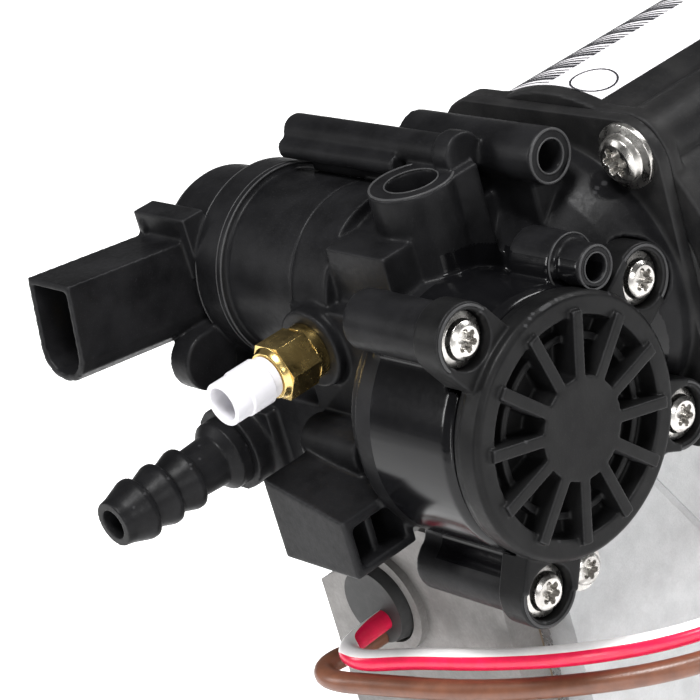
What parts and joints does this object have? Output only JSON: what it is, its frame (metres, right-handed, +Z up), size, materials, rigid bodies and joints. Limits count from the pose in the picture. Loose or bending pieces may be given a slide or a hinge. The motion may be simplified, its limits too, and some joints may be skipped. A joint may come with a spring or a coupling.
{
  "type": "air suspension compressor",
  "caption": "Electric air-suspension pump with a black valve head, spoked exhaust cap, solenoid, dryer canister, motor and rubber feet.",
  "frame": {"origin": "middle of the base, on the surface under the rubber feet", "axes": "+Z up, -Y toward the hose and wire ends, +X toward the spoked cap; the motor, the dryer and the longest side lie along Y"},
  "size_m": [0.131, 0.215, 0.186],
  "materials": {
    "black_nylon": "matte",
    "black_fitting_plastic": "satin",
    "screw_steel": "satin",
    "spring_steel": "satin",
    "machined_steel": "satin",
    "brass": "satin",
    "white_plastic": "satin",
    "cast_aluminium": "cast",
    "blasted_aluminium": "bead blasted",
    "rubber": "matte",
    "seal_polymer": "matte",
    "copper": "satin",
    "magnet": "matte",
    "lamination": "satin",
    "plated_steel": "satin zinc",
    "bracket_paint": "black powder coat",
    "desiccant": "matte",
    "red_white_insulation": "gloss",
    "brown_insulation": "satin"
  },
  "bodies": {
    "housing": {"valve_head": "black_nylon", "spoked_cap": "black_nylon", "solenoid_housing": "black_nylon", "solenoid_end_cap": "black_nylon", "dryer_canister": "black_nylon", "hose_nozzle": "black_nylon", "wire_plug": "black_fitting_plastic", "plug_clip": "black_fitting_plastic", "brush_holder": "black_fitting_plastic", "desiccant_plates": "black_fitting_plastic", "cap_screws": "screw_steel", "flange_screws": "screw_steel", "head_screws": "screw_steel", "motor_screws": "screw_steel", "bracket_screws": "screw_steel", "foot_studs": "screw_steel", "exhaust_spring": "spring_steel", "plunger_spring": "spring_steel", "check_valve_spring": "spring_steel", "desiccant_spring": "spring_steel", "reed_valves": "spring_steel", "motor_bearings": "machined_steel", "solenoid_core": "machined_steel", "cylinder_liner": "machined_steel", "valve_plate": "machined_steel", "outlet_fitting": "brass", "guide_tube": "brass", "connector_pins": "brass", "crankcase": "cast_aluminium", "dryer_saddle": "cast_aluminium", "cylinder_head": "blasted_aluminium", "wire_grommet": "rubber", "rubber_feet": "rubber", "cap_seal": "rubber", "canister_seal": "rubber", "head_gasket": "seal_polymer", "solenoid_coil": "copper", "motor_magnets": "magnet", "brushes": "magnet", "motor_can": "plated_steel", "motor_end_bell": "plated_steel", "mounting_bracket": "bracket_paint", "desiccant_charge": "desiccant", "wire_red_white": "red_white_insulation", "wire_brown": "brown_insulation"},
    "rotor": {"crank": "machined_steel", "motor_shaft": "machined_steel", "armature": "lamination", "armature_windings": "copper", "commutator": "copper"},
    "piston_assembly": {"piston": "cast_aluminium", "piston_cup_seal": "seal_polymer", "connecting_rod": "cast_aluminium", "rod_bearing": "machined_steel"},
    "solenoid_valve": {"solenoid_plunger": "machined_steel", "plunger_seal": "rubber"},
    "exhaust_valve": {"exhaust_piston": "black_fitting_plastic", "exhaust_piston_seal": "rubber"},
    "check_valve": {"check_valve_poppet": "brass"},
    "outlet_plug": {"transport_plug": "white_plastic"}
  },
  "joints": [
    {"name": "rotor_spin", "type": "hinge", "parent": "housing", "child": "rotor", "pos_m": [-0.01295, 0.0135, 0.058], "axis": [0, 1, 0], "continuous": true},
    {"name": "piston_stroke", "type": "slide", "parent": "housing", "child": "piston_assembly", "axis": [1, 0, 0], "range_m": [-0.012, 0]},
    {"name": "plunger_travel", "type": "slide", "parent": "housing", "child": "solenoid_valve", "axis": [-1, 0, 0], "range_m": [0, 0.0015], "stiffness_N_per_m": 600, "springref_m": -0.002, "deforming": ["plunger_spring"]},
    {"name": "exhaust_lift", "type": "slide", "parent": "housing", "child": "exhaust_valve", "axis": [1, 0, 0], "range_m": [0, 0.0025], "stiffness_N_per_m": 1200, "springref_m": -0.002, "deforming": ["exhaust_spring"]},
    {"name": "check_lift", "type": "slide", "parent": "housing", "child": "check_valve", "axis": [0, -1, 0], "range_m": [0, 0.0012], "stiffness_N_per_m": 200, "springref_m": -0.001, "deforming": ["check_valve_spring"]},
    {"name": "plug_pull", "type": "slide", "parent": "housing", "child": "outlet_plug", "axis": [0, -1, 0], "range_m": [0, 0.02]}
  ]
}
